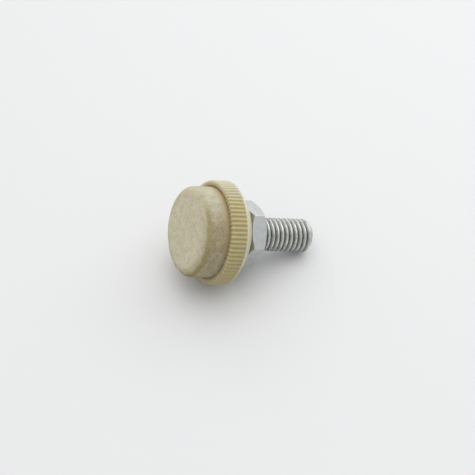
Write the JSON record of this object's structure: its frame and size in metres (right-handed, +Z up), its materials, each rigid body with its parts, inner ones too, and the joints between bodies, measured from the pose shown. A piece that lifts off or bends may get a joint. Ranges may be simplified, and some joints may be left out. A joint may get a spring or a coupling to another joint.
{
  "type": "adjustable levelling foot",
  "caption": "Levelling foot: a felt pad in a knurled plastic holder on a threaded steel stud, with a thin hexagon lock nut that runs along the thread.",
  "frame": {"origin": "centre of the pad's underside, on the surface that the foot stands on", "axes": "+Z up along the stud towards its tip, -Y faces one flat of the lock nut"},
  "size_m": [0.0302, 0.0302, 0.0402],
  "materials": {
    "pad": "pressed felt, mottled beige-grey",
    "holder": "moulded cream plastic, satin",
    "stud": "zinc plated, bright",
    "nut": "zinc plated, dull grey"
  },
  "bodies": {
    "foot": {"pad": "pad", "knurled_holder": "holder", "threaded_stud": "stud"},
    "nut": {"lock_nut": "nut"}
  },
  "joints": [
    {"name": "nut_travel", "type": "slide", "parent": "foot", "child": "nut", "axis": [0, 0, 1], "range_m": [-0.0013, 0.0166]}
  ]
}
